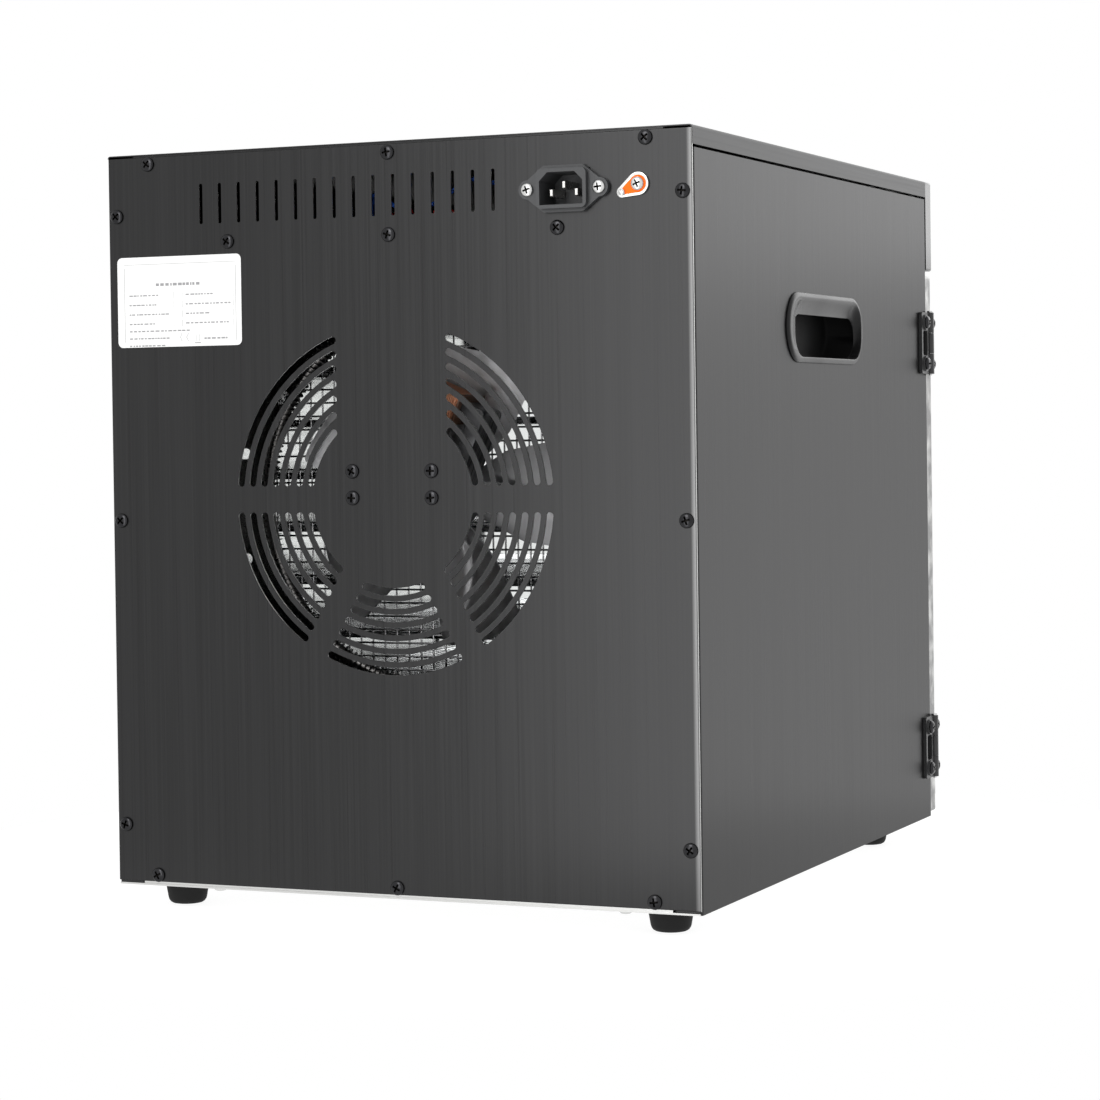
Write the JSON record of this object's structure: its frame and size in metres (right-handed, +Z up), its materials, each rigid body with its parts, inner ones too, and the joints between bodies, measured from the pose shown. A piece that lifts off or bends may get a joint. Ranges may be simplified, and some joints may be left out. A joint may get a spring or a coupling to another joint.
{
  "type": "food dehydrator",
  "caption": "Box-type food dehydrator with a hinged glass door, slide-out wire trays, a rear fan behind a round vent and recessed side handles.",
  "frame": {"origin": "centre of the footprint box, on the surface that the feet stand on", "axes": "+Z up, -Y towards the door's front, +Y towards the rear panel, +X towards the user's right when facing the door"},
  "size_m": [0.3524, 0.457, 0.4155],
  "materials": {
    "black_brushed_steel": "black brushed finish",
    "bare_steel": "bare sheet",
    "polished_liner": "bright rolled sheet",
    "wire_chrome": "plated wire",
    "black_rubber": "matte",
    "black_plastic": "fine texture",
    "inlet_plastic": "moulded texture",
    "label_film": "printed film",
    "black_screw_steel": "black oxide",
    "bright_screw_steel": "bright zinc",
    "brass_plate": "tinned brass",
    "blue_insulation": "smooth",
    "red_insulation": "smooth",
    "fan_aluminium": "pressed sheet",
    "shaft_steel": "ground",
    "laminated_steel": "stacked laminations",
    "copper_winding": "enamelled copper",
    "galvanised_steel": "zinc",
    "heater_sheath": "heat-tinted",
    "bakelite": "moulded",
    "fascia_plastic": "gloss",
    "smoked_window": "gloss",
    "circuit_board": "solder mask",
    "dark_aluminium": "dark brushed",
    "clear_glass": "tempered",
    "grey_silicone": "matte",
    "handle_steel": "satin",
    "magnet_steel": "nickel",
    "button_plastic": "satin"
  },
  "bodies": {
    "cabinet": {"rear_panel": "black_brushed_steel", "top_cover": "black_brushed_steel", "left_side_panel": "black_brushed_steel", "right_side_panel": "black_brushed_steel", "base_plate": "bare_steel", "front_frame": "polished_liner", "black_screws": "black_screw_steel", "bright_screws": "bright_screw_steel", "rubber_feet": "black_rubber", "rating_label": "label_film", "left_handle": "black_plastic", "right_handle": "black_plastic", "power_inlet": "inlet_plastic", "inlet_pins": "bright_screw_steel", "earth_lug": "brass_plate", "blue_wires": "blue_insulation", "red_wires": "red_insulation", "liner_left_wall": "polished_liner", "liner_right_wall": "polished_liner", "liner_ceiling": "polished_liner", "chamber_floor": "polished_liner", "left_tray_rack": "polished_liner", "right_tray_rack": "polished_liner", "fan_baffle": "polished_liner", "fan_guard": "wire_chrome", "motor_stator": "laminated_steel", "motor_coil": "copper_winding", "motor_bearings": "galvanised_steel", "motor_bracket": "galvanised_steel", "heating_element": "heater_sheath", "thermal_cutout": "bakelite", "control_fascia": "fascia_plastic", "display_window": "smoked_window", "control_board": "circuit_board", "body_hinge_leaves": "black_screw_steel", "hinge_pins": "shaft_steel"},
    "door": {"door_frame": "dark_aluminium", "door_glass": "clear_glass", "door_seal": "grey_silicone", "door_handle": "handle_steel", "door_magnets": "magnet_steel", "door_screws": "black_screw_steel", "door_hinge_leaves": "black_screw_steel"},
    "fan": {"fan_impeller": "fan_aluminium", "motor_shaft": "shaft_steel", "rotor_core": "laminated_steel"},
    "power_key": {"power_button": "button_plastic"},
    "start_key": {"start_button": "button_plastic"},
    "minus_key": {"minus_button": "button_plastic"},
    "plus_key": {"plus_button": "button_plastic"},
    "tray_01_shelf": {"tray_01": "wire_chrome"},
    "tray_02_shelf": {"tray_02": "wire_chrome"},
    "tray_03_shelf": {"tray_03": "wire_chrome"},
    "tray_04_shelf": {"tray_04": "wire_chrome"},
    "tray_05_shelf": {"tray_05": "wire_chrome"},
    "tray_06_shelf": {"tray_06": "wire_chrome"},
    "tray_07_shelf": {"tray_07": "wire_chrome"},
    "tray_08_shelf": {"tray_08": "wire_chrome"},
    "tray_09_shelf": {"tray_09": "wire_chrome"},
    "tray_10_shelf": {"tray_10": "wire_chrome"}
  },
  "joints": [
    {"name": "door_hinge", "type": "hinge", "parent": "cabinet", "child": "door", "pos_m": [-0.1746, -0.193, 0.1852], "axis": [0, 0, -1], "range_deg": [0, 120]},
    {"name": "fan_spin", "type": "hinge", "parent": "cabinet", "child": "fan", "pos_m": [0, 0.164, 0.2258], "axis": [0, 1, 0], "continuous": true},
    {"name": "power_press", "type": "slide", "parent": "cabinet", "child": "power_key", "axis": [0, 1, 0], "range_m": [0, 0.0012], "stiffness_N_per_m": 1500},
    {"name": "start_press", "type": "slide", "parent": "cabinet", "child": "start_key", "axis": [0, 1, 0], "range_m": [0, 0.0012], "stiffness_N_per_m": 1500},
    {"name": "minus_press", "type": "slide", "parent": "cabinet", "child": "minus_key", "axis": [0, 1, 0], "range_m": [0, 0.0012], "stiffness_N_per_m": 1500},
    {"name": "plus_press", "type": "slide", "parent": "cabinet", "child": "plus_key", "axis": [0, 1, 0], "range_m": [0, 0.0012], "stiffness_N_per_m": 1500},
    {"name": "tray_01_slide", "type": "slide", "parent": "cabinet", "child": "tray_01_shelf", "axis": [0, -1, 0], "range_m": [0, 0.008]},
    {"name": "tray_02_slide", "type": "slide", "parent": "cabinet", "child": "tray_02_shelf", "axis": [0, -1, 0], "range_m": [0, 0.008]},
    {"name": "tray_03_slide", "type": "slide", "parent": "cabinet", "child": "tray_03_shelf", "axis": [0, -1, 0], "range_m": [0, 0.008]},
    {"name": "tray_04_slide", "type": "slide", "parent": "cabinet", "child": "tray_04_shelf", "axis": [0, -1, 0], "range_m": [0, 0.008]},
    {"name": "tray_05_slide", "type": "slide", "parent": "cabinet", "child": "tray_05_shelf", "axis": [0, -1, 0], "range_m": [0, 0.008]},
    {"name": "tray_06_slide", "type": "slide", "parent": "cabinet", "child": "tray_06_shelf", "axis": [0, -1, 0], "range_m": [0, 0.008]},
    {"name": "tray_07_slide", "type": "slide", "parent": "cabinet", "child": "tray_07_shelf", "axis": [0, -1, 0], "range_m": [0, 0.008]},
    {"name": "tray_08_slide", "type": "slide", "parent": "cabinet", "child": "tray_08_shelf", "axis": [0, -1, 0], "range_m": [0, 0.008]},
    {"name": "tray_09_slide", "type": "slide", "parent": "cabinet", "child": "tray_09_shelf", "axis": [0, -1, 0], "range_m": [0, 0.008]},
    {"name": "tray_10_slide", "type": "slide", "parent": "cabinet", "child": "tray_10_shelf", "axis": [0, -1, 0], "range_m": [0, 0.008]}
  ]
}
